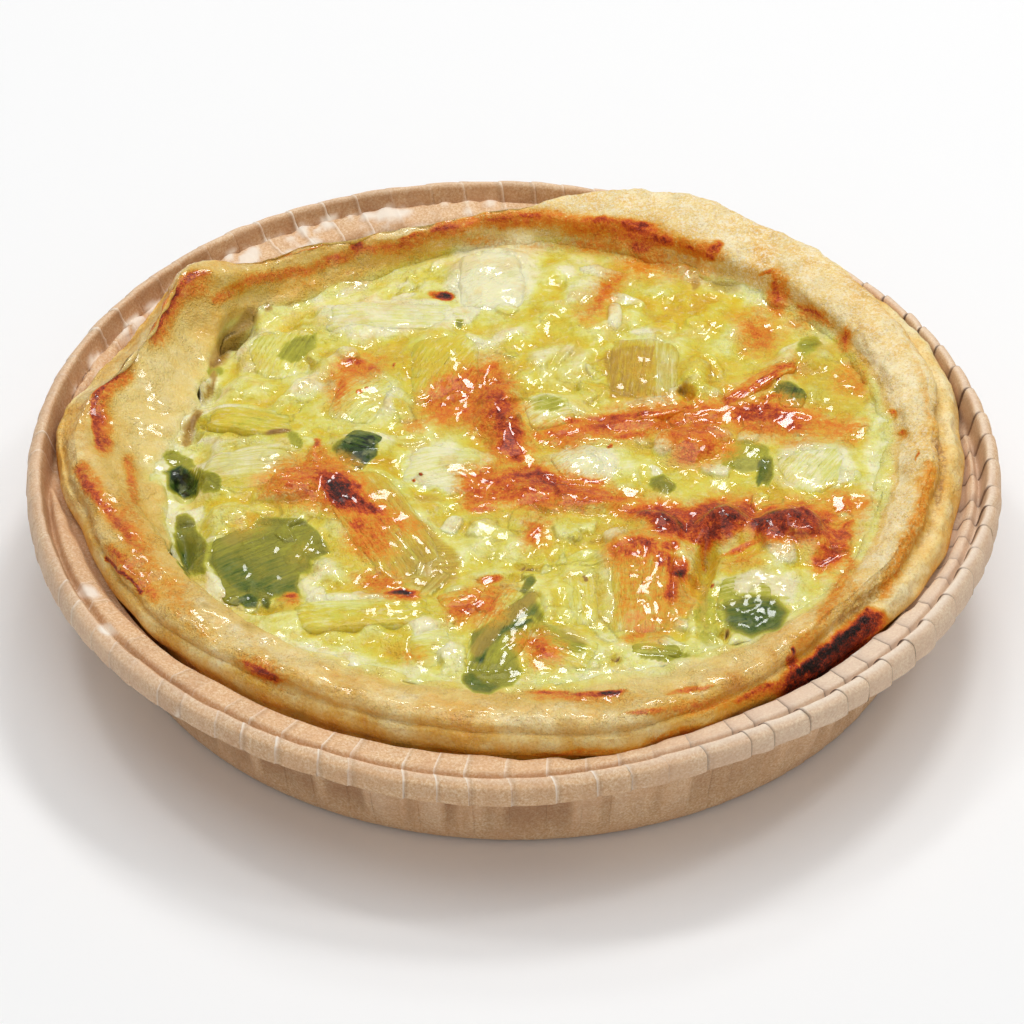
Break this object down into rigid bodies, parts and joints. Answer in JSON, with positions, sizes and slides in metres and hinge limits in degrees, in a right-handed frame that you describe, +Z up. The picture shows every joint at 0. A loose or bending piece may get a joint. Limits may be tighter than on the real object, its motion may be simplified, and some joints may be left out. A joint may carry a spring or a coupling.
{
  "type": "leek quiche in a paper tray",
  "caption": "Individual round quiche with a browned leek and custard filling in a shortcrust case, baked in a pleated kraft paper tray with a folded rim.",
  "frame": {"origin": "centre of the bounding box's footprint, on the surface the paper tray stands on", "axes": "+Z up, -Y towards the front that the picture shows, +X to the right"},
  "size_m": [0.1302, 0.1298, 0.0252],
  "materials": {
    "kraft_paper": "matte pressed kraft paper, pleated",
    "pastry": "floury baked shortcrust, browned at the edges",
    "custard": "glossy baked egg custard with toasted spots",
    "leek_pale": "glossy pale cooked leek, ribbed",
    "leek_green": "glossy dark green cooked leek leaf",
    "onion": "clear pale cooked onion layer",
    "toasted_strip": "toasted orange strip"
  },
  "bodies": {
    "root": {"custard_filling": "custard", "leek_bit_orange": "leek_pale", "leek_bit_pale_middle": "leek_pale", "leek_block_browned": "leek_pale", "leek_chunk_pale_left": "leek_pale", "leek_chunk_pale_right": "leek_pale", "leek_chunk_toasted": "leek_pale", "leek_knot_dark": "leek_green", "leek_layer_right": "leek_pale", "leek_leaf_curled": "leek_green", "leek_leaf_dark_right": "leek_green", "leek_leaf_wide": "leek_green", "leek_scrap_dark": "leek_green", "leek_shred_front": "leek_green", "leek_shred_grey": "leek_green", "leek_slab_back": "leek_pale", "leek_slab_left": "leek_pale", "leek_slab_lime": "leek_pale", "leek_slab_yellow": "leek_pale", "leek_square_ribbed": "leek_pale", "leek_square_striped": "leek_pale", "leek_strip_fibrous": "leek_pale", "leek_wedge_left": "leek_pale", "leek_wedge_middle": "leek_pale", "leek_wedge_peaked": "leek_pale", "onion_bit_middle": "onion", "onion_layer_back": "onion", "paper_tray": "kraft_paper", "pastry_crust": "pastry", "strip_orange": "toasted_strip"}
  },
  "joints": []
}
